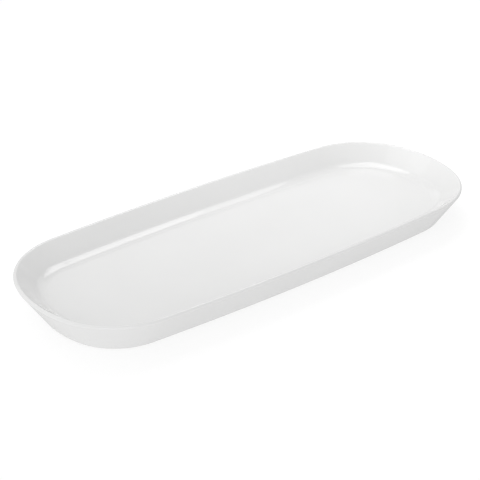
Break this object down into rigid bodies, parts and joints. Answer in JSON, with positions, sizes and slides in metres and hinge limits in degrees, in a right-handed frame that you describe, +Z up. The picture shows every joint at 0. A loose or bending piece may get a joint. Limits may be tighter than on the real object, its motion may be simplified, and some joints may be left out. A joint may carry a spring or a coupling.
{
  "type": "serving platter",
  "caption": "Long white porcelain salmon platter with rounded ends, a flat well, a low sloping wall with a round lip, and a bare standing ring",
  "frame": {"origin": "on the table, under the middle of the platter", "axes": "+X along the length, +Y across the width, +Z up"},
  "size_m": [0.6, 0.239, 0.044],
  "materials": {
    "porcelain": "bare fired porcelain, fine and matt, seen only on the standing ring",
    "glaze": "smooth glossy white glaze"
  },
  "bodies": {
    "root": {"porcelain_body": "porcelain", "outer_glaze": "glaze", "base_glaze": "glaze"}
  },
  "joints": []
}
